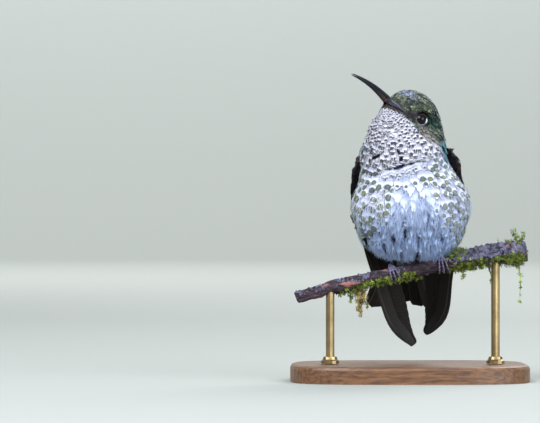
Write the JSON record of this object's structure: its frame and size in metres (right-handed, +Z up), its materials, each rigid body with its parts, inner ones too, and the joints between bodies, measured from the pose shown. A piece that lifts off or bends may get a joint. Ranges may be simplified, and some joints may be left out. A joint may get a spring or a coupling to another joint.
{
  "type": "hummingbird",
  "caption": "Life-size still hummingbird with a spotted breast, head raised and turned to its right, gripping a short mossy branch held by rods over a flat base.",
  "frame": {"origin": "middle of the base's underside", "axes": "+Z up; the bird's breast faces -Y, and its left side is on +X"},
  "size_m": [0.084, 0.06, 0.1074],
  "materials": {
    "crown_feathers": "dull green, iridescent",
    "throat_feathers": "white with small dusky spots",
    "breast_feathers": "white with green-grey discs",
    "back_feathers": "bronze green, iridescent",
    "vent_feathers": "grey-green with pale fringes",
    "wing_feathers": "dusky brown, silky",
    "tail_feathers": "blue-black, silky",
    "leg_down": "soft down",
    "eye": "wet black",
    "bill_upper": "black, satin",
    "bill_lower": "dark brown, satin",
    "toe_skin": "scaled, purple-grey",
    "claw": "dark horn",
    "bark": "rough bark with lichen",
    "moss": "moss",
    "stand_wood": "oiled walnut",
    "stand_brass": "satin"
  },
  "bodies": {
    "root": {"bill_lower": "bill_lower", "bill_upper": "bill_upper", "claw_left_hind": "claw", "claw_left_inner": "claw", "claw_left_middle": "claw", "claw_left_outer": "claw", "claw_right_hind": "claw", "claw_right_inner": "claw", "claw_right_middle": "claw", "claw_right_outer": "claw", "coverts_over_tail": "back_feathers", "coverts_under_tail": "vent_feathers", "eye_left": "eye", "eye_right": "eye", "foot_left": "toe_skin", "foot_right": "toe_skin", "head": "crown_feathers", "leg_left": "leg_down", "leg_right": "leg_down", "neck": "throat_feathers", "perch_branch": "bark", "stand_base": "stand_wood", "stand_collar_left": "stand_brass", "stand_collar_right": "stand_brass", "stand_rod_left": "stand_brass", "stand_rod_right": "stand_brass", "tail_left_inner": "tail_feathers", "tail_left_outer": "tail_feathers", "tail_middle": "tail_feathers", "tail_right_inner": "tail_feathers", "tail_right_outer": "tail_feathers", "trunk": "breast_feathers", "wing_left_coverts": "back_feathers", "wing_left_primaries": "wing_feathers", "wing_left_secondaries": "wing_feathers", "wing_right_coverts": "back_feathers", "wing_right_primaries": "wing_feathers", "wing_right_secondaries": "wing_feathers"}
  },
  "joints": []
}
